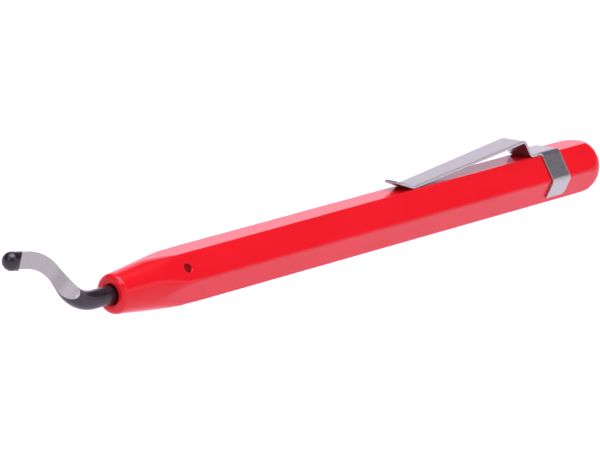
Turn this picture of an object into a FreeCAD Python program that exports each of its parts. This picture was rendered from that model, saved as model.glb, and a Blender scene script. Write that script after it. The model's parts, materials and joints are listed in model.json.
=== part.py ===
"""Pen-type swivel deburring tool, in millimetres.

The handle lies along X on its lower flat, with the blade at the -X end and the pocket clip on top.
The origin is the centre of the lower flat, halfway along the handle, and +Z is up.
Places along the handle are given as distances from the nose plane, and converted by along().
"""

import FreeCAD, Part

import math
import os

import Sketcher

X_AXIS = FreeCAD.Vector(1, 0, 0)
Y_AXIS = FreeCAD.Vector(0, 1, 0)
Z_AXIS = FreeCAD.Vector(0, 0, 1)

NEAR = 0.01  # two places closer than this, in millimetres, are the same
PARALLEL = 0.999  # cosine past which an edge counts as parallel to an axis
THICKNESS_MARGIN = 1.1  # an edge no longer than this many strips runs through the sheet

# Driving dimensions. Lengths are in millimetres and angles in degrees.
DIMENSIONS = {
    # handle
    "handle_length": 124.0,
    "across_flats": 8.8,
    "edge_round": 0.5,
    "nose_radius": 3.33,
    "nose_taper": 0.1207,
    "rim_round": 0.9,
    "dome_radius": 5.05,
    "bore_radius": 1.65,
    "bore_depth": 20.0,
    "drill_point": 0.95,
    "mouth_radius": 2.25,
    "mouth_depth": 0.5,
    # blade wire and its bends, counted from the nose plane outwards
    "wire_radius": 1.6,
    "shank_depth": 18.0,
    "shank_bevel": 0.3,
    "neck_length": 3.8,
    "first_bend": 7.8,
    "first_turn": 57.0,
    "middle_length": 1.6,
    "second_bend": 9.8,
    "second_turn": 47.0,
    "tip_length": 4.4,
    # ground flat on the blade
    "flat_depth": 0.7,
    "wheel_radius": 8.0,
    "wheel_start": 3.2,
    "ramp_start": 2.7,
    "ramp_angle": 45.0,
    "ramp_skew": 10.0,
    "upper_flat": 7.0,
    "grind_reach": 4.0,
    # detent that keeps the blade in the handle
    "detent_place": 14.8,
    "ball_radius": 0.75,
    "detent_hole": 0.8,
    "hole_rim": 0.1,
    "groove_radius": 1.15,
    "groove_width": 1.6,
    "ball_play": 0.03,
    "coil_radius": 0.5,
    "coil_wire": 0.09,
    "coil_pitch": 0.33,
    "coil_length": 1.03,
    "coil_gap": 0.009,
    "plug_height": 0.4,
    "plug_recess": 0.25,
    # pocket clip
    "strip": 0.5,
    "band_front": 107.3,
    "band_width": 4.8,
    "tab_reach": 3.5,
    "tab_round": 0.8,
    "arm_width": 5.2,
    "tip_width": 4.0,
    "arm_root": 105.6,
    "foot_length": 0.19,
    "foot_bend": 0.8,
    "foot_turn": 60.0,
    "riser_length": 2.427,
    "root_bend": 0.8,
    "root_turn": 65.68,
    "arm_length": 28.81,
    "contact_bend": 1.5,
    "contact_turn": 27.68,
    "lip_length": 3.6,
    "lip_round": 1.0,
}


def make_sheet(doc):
    """Put the driving dimensions into a spreadsheet, one named cell each."""
    sheet = doc.addObject("Spreadsheet::Sheet", "Sizes")
    for row, (alias, value) in enumerate(DIMENSIONS.items(), start=1):
        sheet.set("A%d" % row, alias)
        sheet.set("B%d" % row, str(value))
        sheet.setAlias("B%d" % row, alias)
    doc.recompute()
    return sheet


doc = FreeCAD.newDocument("DeburringTool")
sheet = make_sheet(doc)


def size(alias):
    """One driving dimension, read back from the spreadsheet."""
    return float(sheet.get(alias))


AXIS_HEIGHT = size("across_flats") / 2
ALONG_X = FreeCAD.Rotation(Y_AXIS, Z_AXIS, X_AXIS, "ZXY")


def along(distance):
    """X of a place that lies this far behind the nose plane."""
    return distance - size("handle_length") / 2


def on_axis(distance):
    """Point on the handle's axis, this far behind the nose plane."""
    return FreeCAD.Vector(along(distance), 0, AXIS_HEIGHT)


def bind(obj, **expressions):
    """Tie properties of an object to cells of the spreadsheet."""
    for name, text in expressions.items():
        obj.setExpression(name, text.replace("@", "Sizes."))
    return obj


def primitive(kind, name, placement, **expressions):
    """Part primitive with its sizes tied to the spreadsheet."""
    obj = doc.addObject("Part::" + kind, name)
    bind(obj, **expressions)
    obj.Placement = placement
    return obj


def fuse(name, shapes):
    """One solid from several that overlap."""
    obj = doc.addObject("Part::MultiFuse", name)
    obj.Shapes = shapes
    return obj


def boolean(kind, name, base, tool):
    """Part::Cut or Part::Common of two objects."""
    obj = doc.addObject("Part::" + kind, name)
    obj.Base = base
    obj.Tool = tool
    return obj


def rounded(name, base, radius, wanted):
    """Fillet of the base's edges that pass the test."""
    doc.recompute()
    obj = doc.addObject("Part::Fillet", name)
    obj.Base = base
    numbers = [i for i, edge in enumerate(base.Shape.Edges, start=1) if wanted(edge)]
    obj.Edges = [(i, radius, radius) for i in numbers]
    return obj


def runs_along_x(edge):
    """True for a straight edge parallel to the handle."""
    first, last = (vertex.Point for vertex in edge.Vertexes)
    return abs((last - first).normalize().dot(X_AXIS)) > PARALLEL


def through_sheet(edge):
    """True for an edge that crosses the clip's strip from one face to the other."""
    return edge.Length < size("strip") * THICKNESS_MARGIN


def turned(heading, distance):
    """Vector of this length in the XZ plane, rising by heading (radians) from -X."""
    return FreeCAD.Vector(-distance * math.cos(heading), 0, distance * math.sin(heading))


# ---------------------------------------------------------------- handle


def hexagonal_bar(name, across, radius, start, length):
    """Six-sided bar along the handle's axis with rounded long edges."""
    bar = primitive(
        "Prism", name + "_prism", FreeCAD.Placement(on_axis(start), ALONG_X),
        Circumradius="(%s) / sqrt(3)" % across, Height=length,
    )
    bar.Polygon = 6
    return rounded(name, bar, radius, runs_along_x)


def make_handle():
    """Hexagonal handle: turned nose, domed tail, blade bore and side hole."""
    bar = hexagonal_bar("handle_bar", "@across_flats", size("edge_round"), 0, "@handle_length")
    cone_length = (size("dome_radius") - size("nose_radius")) / size("nose_taper")
    dome_centre = size("handle_length") - size("dome_radius")
    nose = primitive(
        "Cone", "turned_nose", FreeCAD.Placement(on_axis(0), ALONG_X),
        Radius1="@nose_radius", Radius2="@dome_radius",
        Height="(@dome_radius - @nose_radius) / @nose_taper",
    )
    nose = rounded("nose_rim", nose, size("rim_round"), lambda edge: edge.BoundBox.XMax < along(NEAR))
    middle = primitive(
        "Cylinder", "turned_middle", FreeCAD.Placement(on_axis(cone_length), ALONG_X),
        Radius="@dome_radius",
        Height="@handle_length - @dome_radius - (@dome_radius - @nose_radius) / @nose_taper",
    )
    dome = primitive(
        "Sphere", "turned_dome", FreeCAD.Placement(on_axis(dome_centre), ALONG_X),
        Radius="@dome_radius",
    )
    blank = boolean("Common", "handle_blank", bar, fuse("turned_envelope", [nose, middle, dome]))

    bore = primitive(
        "Cylinder", "blade_bore", FreeCAD.Placement(on_axis(0), ALONG_X),
        Radius="@bore_radius", Height="@bore_depth",
    )
    point = primitive(
        "Cone", "bore_point", FreeCAD.Placement(on_axis(size("bore_depth")), ALONG_X),
        Radius1="@bore_radius", Radius2="0", Height="@drill_point",
    )
    mouth = primitive(
        "Cone", "bore_mouth", FreeCAD.Placement(on_axis(0), ALONG_X),
        Radius1="@mouth_radius", Radius2="@bore_radius", Height="@mouth_depth",
    )
    hole = primitive(
        "Cylinder", "side_hole", detent_placement(0),
        Radius="@detent_hole", Height="@across_flats",
    )
    rim = primitive(
        "Cone", "side_hole_rim", detent_placement(AXIS_HEIGHT - size("hole_rim")),
        Radius1="@detent_hole", Radius2="@detent_hole + @hole_rim", Height="@hole_rim",
    )
    tools = fuse("handle_holes", [bore, point, mouth, hole, rim])
    return boolean("Cut", "handle_body", blank, tools)


# ---------------------------------------------------------------- detent


def detent_placement(radius):
    """Frame on the side hole's axis, this far from the handle's axis, with Z pointing out."""
    outward = FreeCAD.Vector(0, -math.cos(math.radians(30)), math.sin(math.radians(30)))
    turn = FreeCAD.Rotation(X_AXIS, outward.cross(X_AXIS), outward, "ZXY")
    return FreeCAD.Placement(on_axis(size("detent_place")) + outward * radius, turn)


def make_detent_ball():
    """Ball that sits in the blade's ring groove."""
    centre = size("groove_radius") + size("ball_play") + size("ball_radius")
    return primitive("Sphere", "detent_ball", detent_placement(centre), Radius="@ball_radius")


def make_detent_spring():
    """Coil between the ball and the plug, a wire swept along a helix."""
    plug_face = AXIS_HEIGHT - size("plug_recess") - size("plug_height")
    start = plug_face - size("coil_gap") - size("coil_wire") - size("coil_length")
    helix = doc.addObject("Part::Helix", "coil_path")
    bind(helix, Radius="@coil_radius", Pitch="@coil_pitch", Height="@coil_length")
    wire = doc.addObject("Part::Circle", "coil_section")
    bind(wire, Radius="@coil_wire")
    wire.Placement = FreeCAD.Placement(
        FreeCAD.Vector(size("coil_radius"), 0, 0), FreeCAD.Rotation(X_AXIS, 90)
    )
    coil = doc.addObject("Part::Sweep", "detent_spring")
    coil.Sections = [wire]
    coil.Spine = (helix, ["Edge1"])
    coil.Solid = True
    coil.Frenet = True
    coil.Placement = detent_placement(start)
    return coil


def make_detent_plug():
    """Disc pressed into the side hole, a little below the face."""
    base = AXIS_HEIGHT - size("plug_recess") - size("plug_height")
    return primitive(
        "Cylinder", "detent_plug", detent_placement(base),
        Radius="@detent_hole", Height="@plug_height",
    )


# ---------------------------------------------------------------- bent wire and strip


def origin_plane(body, role):
    """One of a body's own origin planes."""
    return next(plane for plane in body.Origin.OriginFeatures if plane.Role == role)


def plane_sketch(body, name, role, offset=0.0):
    """Sketch on one of the body's origin planes, or a distance in front of it."""
    sketch = body.newObject("Sketcher::SketchObject", name)
    sketch.AttachmentSupport = [(origin_plane(body, role), "")]
    sketch.MapMode = "FlatFace"
    sketch.AttachmentOffset = FreeCAD.Placement(FreeCAD.Vector(0, 0, offset), FreeCAD.Rotation())
    return sketch


def tie(sketch, constraint, formula):
    """Add a constraint whose value follows the spreadsheet."""
    index = sketch.addConstraint(constraint)
    sketch.setExpression("Constraints[%d]" % index, formula.replace("@", "Sizes."))


def total(cells):
    """Sum of several driving dimensions."""
    return sum(size(cell) for cell in cells)


def heading_vector(heading):
    """Unit vector in a sketch for an angle in radians."""
    return FreeCAD.Vector(math.cos(heading), math.sin(heading), 0)


def route(body, name, start_x, start_z, steps):
    """Open path in the XZ plane of straight runs joined by tangent arcs, heading to -X at first.

    Each step is (cells of the run's length, cell of the bend's radius, cell of its turn, sign). The
    sign is -1 where the path bends upwards and 1 where it bends down. The last step is a run alone.
    """
    sketch = plane_sketch(body, name, "XZ_Plane")
    here = FreeCAD.Vector(start_x, start_z, 0)
    heading = math.pi
    bend = None
    for cells, *turn in steps:
        there = here + heading_vector(heading) * total(cells)
        line = sketch.addGeometry(Part.LineSegment(here, there))
        if bend is None:
            sketch.addConstraint(Sketcher.Constraint("DistanceX", -1, 1, line, 1, here.x))
            sketch.addConstraint(Sketcher.Constraint("DistanceY", -1, 1, line, 1, here.y))
            sketch.addConstraint(Sketcher.Constraint("Horizontal", line))
        else:
            sketch.addConstraint(Sketcher.Constraint("Tangent", *bend, line, 1))
        run = " + ".join("@" + cell for cell in cells)
        tie(sketch, Sketcher.Constraint("Distance", line, total(cells)), run)
        here = there
        if turn:
            radius_cell, angle_cell, sign = turn
            radius = size(radius_cell)
            sweep = math.radians(size(angle_cell))
            centre = here + heading_vector(heading + sign * math.pi / 2) * radius
            first = heading - sign * math.pi / 2
            last = first + sign * sweep
            circle = Part.Circle(centre, Z_AXIS, radius)
            arc = sketch.addGeometry(Part.ArcOfCircle(circle, min(first, last), max(first, last)))
            near, far = (1, 2) if sign > 0 else (2, 1)
            sketch.addConstraint(Sketcher.Constraint("Tangent", line, 2, arc, near))
            tie(sketch, Sketcher.Constraint("Radius", arc, radius), "@" + radius_cell)
            tie(sketch, Sketcher.Constraint("Angle", arc, sweep), "@" + angle_cell + " * 1 deg")
            here = centre + heading_vector(last) * radius
            heading += sign * sweep
            bend = (arc, far)
    return sketch


def carry(body, name, section, path):
    """Section carried along a path."""
    doc.recompute()
    feature = body.newObject("PartDesign::AdditivePipe", name)
    feature.Profile = section
    feature.Spine = (path, ["Edge%d" % (i + 1) for i in range(path.GeometryCount)])
    body.Tip = feature
    return body


# ---------------------------------------------------------------- blade


def blade_stations():
    """Start of the middle run with its heading, and centre of the round tip with its heading."""
    first = math.radians(size("first_turn"))
    tip_heading = first - math.radians(size("second_turn"))
    run_in = turned(0, size("neck_length") + size("first_bend") * math.sin(first))
    rise = Z_AXIS * size("first_bend") * (1 - math.cos(first))
    middle = on_axis(0) + run_in + rise
    reach = size("second_bend") * (math.sin(first) - math.sin(tip_heading))
    lift = size("second_bend") * (math.cos(tip_heading) - math.cos(first))
    tip = middle + turned(first, size("middle_length")) + turned(0, reach) + Z_AXIS * lift
    tip += turned(tip_heading, size("tip_length"))
    return middle, first, tip, tip_heading


def bench_frame(point, heading, tilt=0.0):
    """Frame of a grinding tool: X along the wire, Z towards -Y, both tilted by the same angle."""
    ahead = turned(heading, 1)
    outward = Y_AXIS * -1
    x_dir = ahead * math.cos(tilt) + outward * math.sin(tilt)
    z_dir = outward * math.cos(tilt) - ahead * math.sin(tilt)
    return FreeCAD.Placement(point, FreeCAD.Rotation(x_dir, z_dir.cross(x_dir), z_dir, "ZXY"))


def within(frame, x, y, z, rotation=FreeCAD.Rotation()):
    """Placement given in another frame's coordinates."""
    return frame.multiply(FreeCAD.Placement(FreeCAD.Vector(x, y, z), rotation))


def grinding_block(name, frame, start, reach_cells):
    """Block that grinds the wire down to the flat, from start along the frame's X."""
    corner = within(frame, start, -size("grind_reach"), -size("flat_depth"))
    length = " + ".join("@" + cell for cell in reach_cells)
    return primitive(
        "Box", name, corner, Length=length, Width="2 * @grind_reach", Height="@grind_reach"
    )


def make_grinding_tools():
    """What the grinding takes off: wheel run-out at the neck, the flat, and the ramp at the tip."""
    middle, heading, tip, tip_heading = blade_stations()
    neck = bench_frame(middle, heading)
    wheel = primitive(
        "Cylinder", "grinding_wheel",
        within(
            neck, size("wheel_start"), size("grind_reach"),
            size("wheel_radius") - size("flat_depth"), FreeCAD.Rotation(X_AXIS, 90),
        ),
        Radius="@wheel_radius", Height="2 * @grind_reach",
    )
    lower = grinding_block("lower_flat", neck, size("wheel_start"), ["grind_reach"])
    end = tip + turned(tip_heading, -size("ramp_start"))
    ramp_heading = tip_heading + math.radians(size("ramp_skew"))
    upper = grinding_block(
        "upper_flat", bench_frame(end, ramp_heading), -size("upper_flat"), ["upper_flat"]
    )
    foot = end + Y_AXIS * size("flat_depth")
    ramp_frame = bench_frame(foot, ramp_heading, math.radians(size("ramp_angle")))
    ramp = primitive(
        "Box", "tip_ramp", within(ramp_frame, 0, -size("grind_reach"), 0),
        Length="@grind_reach", Width="2 * @grind_reach", Height="@grind_reach",
    )
    return [wheel, lower, upper, ramp]


def make_blade():
    """Swivel blade: bent wire with a round tip, a ring groove on its shank and a ground flat."""
    body = doc.addObject("PartDesign::Body", "blade_wire")
    end_x = along(size("shank_depth"))
    section = plane_sketch(body, "wire_section", "YZ_Plane", end_x)
    centre = FreeCAD.Vector(0, AXIS_HEIGHT, 0)
    circle = section.addGeometry(Part.Circle(centre, Z_AXIS, size("wire_radius")))
    section.addConstraint(Sketcher.Constraint("PointOnObject", circle, 3, -2))
    tie(section, Sketcher.Constraint("DistanceY", -1, 1, circle, 3, AXIS_HEIGHT), "@across_flats / 2")
    tie(section, Sketcher.Constraint("Radius", circle, size("wire_radius")), "@wire_radius")
    steps = [
        (("shank_depth", "neck_length"), "first_bend", "first_turn", -1),
        (("middle_length",), "second_bend", "second_turn", 1),
        (("tip_length",),),
    ]
    path = route(body, "wire_path", end_x, AXIS_HEIGHT, steps)
    wire = carry(body, "bent_wire", section, path)
    shank = rounded(
        "blade_shank", wire, size("shank_bevel"), lambda edge: edge.BoundBox.XMin > end_x - NEAR
    )
    tip_centre = blade_stations()[2]
    tip = primitive(
        "Sphere", "blade_tip", FreeCAD.Placement(tip_centre, ALONG_X), Radius="@wire_radius"
    )
    ring_place = FreeCAD.Placement(
        on_axis(size("detent_place") - size("groove_width") / 2), ALONG_X
    )
    outer = primitive(
        "Cylinder", "groove_outer", ring_place, Radius="2 * @wire_radius", Height="@groove_width"
    )
    core = primitive(
        "Cylinder", "groove_core", ring_place, Radius="@groove_radius", Height="@groove_width"
    )
    ring = boolean("Cut", "ring_groove", outer, core)
    tools = fuse("blade_cutters", [ring] + make_grinding_tools())
    return boolean("Cut", "swivel_blade", fuse("blade_blank", [shank, tip]), tools)


# ---------------------------------------------------------------- pocket clip


def make_clip_band():
    """Band of the clip, open below, with the foot that leads to the arm."""
    rear = size("band_front") + size("band_width")
    outer = hexagonal_bar(
        "band_outside", "@across_flats + 2 * @strip", size("edge_round") + size("strip"),
        size("band_front"), "@band_width",
    )
    inner = hexagonal_bar(
        "band_inside", "@across_flats", size("edge_round"), size("band_front"), "@band_width"
    )
    corner = size("across_flats") / math.sqrt(3)
    cutters = [inner]
    for side in (-1, 1):
        outward = FreeCAD.Vector(0, side * math.cos(math.pi / 6), -math.sin(math.pi / 6))
        down = FreeCAD.Vector(0, -side * math.sin(math.pi / 6), -math.cos(math.pi / 6))
        end = on_axis(size("band_front")) + Y_AXIS * side * corner + down * size("tab_reach")
        turn = FreeCAD.Rotation(X_AXIS, outward.cross(X_AXIS), outward, "ZXY")
        sideways = turn.multVec(Y_AXIS).dot(down)
        width_start = 0 if sideways > 0 else -size("grind_reach")
        frame = FreeCAD.Placement(end, turn)
        cutters.append(primitive(
            "Box", "tab_end_%s" % ("left" if side < 0 else "right"),
            within(frame, 0, width_start, -2 * size("strip")),
            Length="@band_width", Width="@grind_reach", Height="4 * @strip",
        ))
    below = FreeCAD.Vector(along(size("band_front")), -size("grind_reach"), -2 * size("strip"))
    cutters.append(primitive(
        "Box", "band_opening", FreeCAD.Placement(below, FreeCAD.Rotation()),
        Length="@band_width", Width="2 * @grind_reach", Height="3 * @strip",
    ))
    band = boolean("Cut", "band_blank", outer, fuse("band_cutters", cutters))

    def is_rear_corner(edge):
        box = edge.BoundBox
        low = box.ZMax < AXIS_HEIGHT - size("tab_reach") / 2
        return box.XMin > along(rear) - NEAR and low and through_sheet(edge)

    band = rounded("band_wrap", band, size("tab_round"), is_rear_corner)
    corner_place = FreeCAD.Vector(
        along(size("arm_root")), -size("arm_width") / 2, size("across_flats")
    )
    foot = primitive(
        "Box", "clip_foot", FreeCAD.Placement(corner_place, FreeCAD.Rotation()),
        Length="@band_front - @arm_root + @band_width / 2", Width="@arm_width", Height="@strip",
    )
    return fuse("clip_band", [band, foot])


def make_clip_arm():
    """Springy arm of the clip: riser, long run down to the contact bend, and upturned lip."""
    body = doc.addObject("PartDesign::Body", "arm_strip")
    section = plane_sketch(body, "arm_section", "YZ_Plane", along(size("arm_root")))
    half = size("arm_width") / 2
    base = size("across_flats")
    top = base + size("strip")
    corners = [(-half, base), (half, base), (half, top), (-half, top)]
    points = [FreeCAD.Vector(y, z, 0) for y, z in corners]
    for first, last in zip(points, points[1:] + points[:1]):
        section.addGeometry(Part.LineSegment(first, last))
    for line in range(4):
        section.addConstraint(Sketcher.Constraint("Coincident", line, 2, (line + 1) % 4, 1))
    section.addConstraint(Sketcher.Constraint("Horizontal", 2))
    for line in (1, 3):
        section.addConstraint(Sketcher.Constraint("Vertical", line))
    section.addConstraint(Sketcher.Constraint("Symmetric", 0, 1, 0, 2, -2))
    tie(section, Sketcher.Constraint("DistanceX", 0, 1, 0, 2, 2 * half), "@arm_width")
    tie(section, Sketcher.Constraint("DistanceY", 1, 1, 1, 2, top - base), "@strip")
    tie(section, Sketcher.Constraint("DistanceY", -1, 1, 0, 2, base), "@across_flats")
    steps = [
        (("foot_length",), "foot_bend", "foot_turn", -1),
        (("riser_length",), "root_bend", "root_turn", 1),
        (("arm_length",), "contact_bend", "contact_turn", -1),
        (("lip_length",),),
    ]
    path = route(body, "arm_path", along(size("arm_root")), base + size("strip") / 2, steps)
    strip = carry(body, "bent_strip", section, path)
    doc.recompute()
    box = strip.Shape.BoundBox
    plan = doc.addObject("Part::Wedge", "arm_plan")
    plan.Xmin, plan.Xmax = -size("tip_width") / 2, size("tip_width") / 2
    plan.X2min, plan.X2max = -half, half
    plan.Ymin, plan.Ymax = 0, box.XLength
    plan.Zmin, plan.Zmax = 0, 2 * box.ZLength
    plan.Z2min, plan.Z2max = 0, 2 * box.ZLength
    turn = FreeCAD.Rotation(Y_AXIS * -1, X_AXIS, Z_AXIS, "ZXY")
    plan.Placement = FreeCAD.Placement(FreeCAD.Vector(box.XMin, 0, base - size("strip")), turn)
    arm = boolean("Common", "arm_tapered", strip, plan)

    def is_lip_corner(edge):
        return edge.BoundBox.XMax < box.XMin + size("strip") and through_sheet(edge)

    return rounded("clip_arm", arm, size("lip_round"), is_lip_corner)


# ---------------------------------------------------------------- assembly


def export(nodes):
    """Check every object of the document, then write each sub-part to its own file."""
    doc.recompute()
    for obj in doc.Objects:
        if {"Invalid", "Error"} & set(obj.State):
            raise RuntimeError("%s failed: %s" % (obj.Name, obj.State))
    for node in nodes:
        node.Label = node.Name
        if node.Shape.isNull() or not node.Shape.isValid():
            raise RuntimeError("%s has no valid shape" % node.Label)
    os.makedirs("parts", exist_ok=True)
    for node in nodes:
        node.Shape.exportStep("parts/%s.step" % node.Label)
        volume = node.Shape.Volume
        print("%-14s %8.3f mm3 %d solid(s)" % (node.Label, volume, len(node.Shape.Solids)))


export([
    make_handle(),
    make_blade(),
    make_detent_ball(),
    make_detent_spring(),
    make_detent_plug(),
    make_clip_band(),
    make_clip_arm(),
])
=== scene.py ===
"""Finished looks of a pen-type swivel deburring tool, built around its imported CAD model.

The frame is the model's own: metres, +Z up, handle along X on its lower flat, blade at the -X end.
Each sub-assembly is a class that works its surfaces out as whole arrays, welds them into meshes and
dresses them in a procedural finish.
"""

import json
import logging
import math
from dataclasses import dataclass
from enum import Enum
from typing import Any, Sequence

import bmesh
import bpy
import numpy as np
from mathutils import Matrix, Vector


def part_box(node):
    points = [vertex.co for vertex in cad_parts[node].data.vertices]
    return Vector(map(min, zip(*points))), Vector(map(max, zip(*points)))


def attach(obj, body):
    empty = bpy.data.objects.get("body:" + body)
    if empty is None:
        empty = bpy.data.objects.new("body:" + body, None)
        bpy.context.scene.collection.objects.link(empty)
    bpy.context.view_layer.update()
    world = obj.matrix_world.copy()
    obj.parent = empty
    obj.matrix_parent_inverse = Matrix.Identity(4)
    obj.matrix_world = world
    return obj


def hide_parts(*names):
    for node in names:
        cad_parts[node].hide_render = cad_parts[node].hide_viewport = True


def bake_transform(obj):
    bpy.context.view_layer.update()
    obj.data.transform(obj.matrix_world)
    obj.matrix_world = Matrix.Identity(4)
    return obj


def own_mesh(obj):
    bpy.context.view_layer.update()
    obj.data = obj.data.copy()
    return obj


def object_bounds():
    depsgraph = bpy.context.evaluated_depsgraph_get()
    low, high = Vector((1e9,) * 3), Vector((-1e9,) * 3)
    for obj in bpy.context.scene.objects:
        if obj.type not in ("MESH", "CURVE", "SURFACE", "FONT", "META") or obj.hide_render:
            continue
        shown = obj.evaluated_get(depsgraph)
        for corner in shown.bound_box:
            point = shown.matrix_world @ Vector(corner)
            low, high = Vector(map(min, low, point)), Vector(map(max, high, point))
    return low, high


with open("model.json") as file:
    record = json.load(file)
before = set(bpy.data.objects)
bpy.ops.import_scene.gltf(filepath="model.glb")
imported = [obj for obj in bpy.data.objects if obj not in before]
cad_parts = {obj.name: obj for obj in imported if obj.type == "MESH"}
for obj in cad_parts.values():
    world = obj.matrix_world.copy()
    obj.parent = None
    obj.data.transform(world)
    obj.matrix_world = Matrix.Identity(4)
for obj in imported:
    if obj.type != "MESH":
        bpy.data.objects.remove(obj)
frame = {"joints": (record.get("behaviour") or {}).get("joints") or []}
CAD_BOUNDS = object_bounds()

MM = 0.001
MICRON = 0.001 * MM
WELD_DISTANCE = 1.5 * MICRON
# Angle between two flats of the hexagon, and from a flat's middle to its edge.
FLAT_TURN = math.pi / 3
HALF_FLAT = math.pi / 6

log = logging.getLogger("deburring_tool")

# Smallest width, in metres, that a soft join may divide by.
TINY = 1e-9
# Numbers of a Mix node's colour sockets: share, first and second colour, and the result.
MIX_INPUTS = (0, 6, 7)
MIX_RESULT = 2

Triple = tuple[float, float, float]
Colour = Triple
Array = np.ndarray
Piece = bpy.types.Object
Socket = bpy.types.NodeSocket


class Body(str, Enum):
    """CAD bodies that pieces ride on."""

    HANDLE = "handle"
    BLADE = "blade"
    DETENT = "detent"
    CLIP = "clip"


class Slot(str, Enum):
    """Material slots of the record."""

    LACQUER = "red_lacquer"
    PLUG = "plug_lacquer"
    BLADE = "blade_steel"
    BEARING = "bearing_steel"
    CLIP = "clip_steel"


# ---- surfaces


class Surface:
    """Patches of quads that are welded into one mesh."""

    def __init__(self) -> None:
        """Start with no patches."""
        self.points: list[Array] = []
        self.quads: list[Array] = []
        self.finishes: list[Array] = []
        self.places: list[Array] = []
        self.count = 0

    def add(self, grid: Array, finish: int = 0, keep: Array | None = None,
            places: Array | None = None) -> None:
        """Add a patch: each quad joins four neighbours of a grid of points.

        Args:
            grid: Points, rows x columns x 3, in metres.
            finish: Number of the finish that the patch wears.
            keep: Which of the (rows - 1) x (columns - 1) quads are wanted; all when left out.
            places: Place of each point on the flat blank, for finishes that follow the sheet.
        """
        rows, columns = grid.shape[:2]
        index = np.arange(rows * columns).reshape(rows, columns) + self.count
        corners = (index[:-1, :-1], index[1:, :-1], index[1:, 1:], index[:-1, 1:])
        quads = np.stack(corners, axis=-1)
        chosen = quads.reshape(-1, 4) if keep is None else quads[keep]
        flat_places = np.zeros_like(grid) if places is None else places
        self.points.append(grid.reshape(-1, 3))
        self.places.append(flat_places.reshape(-1, 3))
        self.quads.append(chosen)
        self.finishes.append(np.full(len(chosen), finish, dtype=np.int32))
        self.count += rows * columns

    def mesh(self, name: str, closed: bool = True) -> bpy.types.Mesh:
        """Weld the patches where their points meet.

        Args:
            name: Name of the mesh.
            closed: True for a closed skin, whose faces are turned outwards.

        Returns:
            The welded mesh, with a "place" attribute on its points.
        """
        points = np.concatenate(self.points)
        quads = np.concatenate(self.quads)
        mesh = bpy.data.meshes.new(name)
        mesh.vertices.add(len(points))
        mesh.vertices.foreach_set("co", points.astype(np.float32).ravel())
        mesh.loops.add(quads.size)
        mesh.loops.foreach_set("vertex_index", quads.astype(np.int32).ravel())
        mesh.polygons.add(len(quads))
        mesh.polygons.foreach_set("loop_start", np.arange(0, quads.size, 4, dtype=np.int32))
        mesh.polygons.foreach_set("material_index", np.concatenate(self.finishes))
        mesh.update(calc_edges=True)
        place = mesh.attributes.new("place", "FLOAT_VECTOR", "POINT")
        place.data.foreach_set("vector", np.concatenate(self.places).astype(np.float32).ravel())
        work = bmesh.new()
        work.from_mesh(mesh)
        bmesh.ops.remove_doubles(work, verts=work.verts, dist=WELD_DISTANCE)
        if closed:
            bmesh.ops.recalc_face_normals(work, faces=work.faces)
        work.to_mesh(mesh)
        work.free()
        mesh.update()
        return mesh


def smooth_step(low: float, high: float, value: Array) -> Array:
    """Rise from 0 at low to 1 at high along 3t^2 - 2t^3."""
    t = np.clip((value - low) / (high - low), 0.0, 1.0)
    return t * t * (3.0 - 2.0 * t)


def shares(cells: int) -> Array:
    """Evenly spaced values from 0 to 1."""
    return np.linspace(0.0, 1.0, cells + 1)


def quarter(cells: int) -> Array:
    """Evenly spaced angles from 0 to a right angle."""
    return np.linspace(0.0, math.pi / 2, cells + 1)


def circle_angles(cells: int) -> Array:
    """Evenly spaced angles once round, the first again as the last."""
    return np.linspace(0.0, 2.0 * math.pi, cells + 1)


def spread(parts: Sequence[tuple[float, float, int]]) -> Array:
    """Rising list of values from several stretches.

    Args:
        parts: (start, end, number of cells) of each stretch; each starts where the last one ended.

    Returns:
        The values, evenly spaced within each stretch, each joint named once.
    """
    runs = [np.linspace(start, end, cells + 1)[1:] for start, end, cells in parts]
    return np.concatenate([[parts[0][0]], *runs])


def corner_cut(distance: Array, end: float, radius: float) -> Array:
    """How far a plan outline draws in over the last stretch of a sheet with a rounded corner.

    The corner is a quarter circle: r - sqrt(r^2 - t^2), where t is how far the point lies past the
    circle's centre.

    Args:
        distance: Distances along the sheet.
        end: Where the sheet ends.
        radius: Radius of its corners.

    Returns:
        Distances in metres, 0 before the corner.
    """
    past = np.clip(distance - (end - radius), 0.0, radius)
    return radius - np.sqrt(radius**2 - past**2)


@dataclass(frozen=True)
class Stretch:
    """Straight run of a route and the bend after it; a positive turn bends it upwards."""

    run: float
    radius: float = 0.0
    turn: float = 0.0

    @property
    def arc(self) -> float:
        """Length of the bend."""
        return self.radius * math.radians(abs(self.turn))


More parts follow.
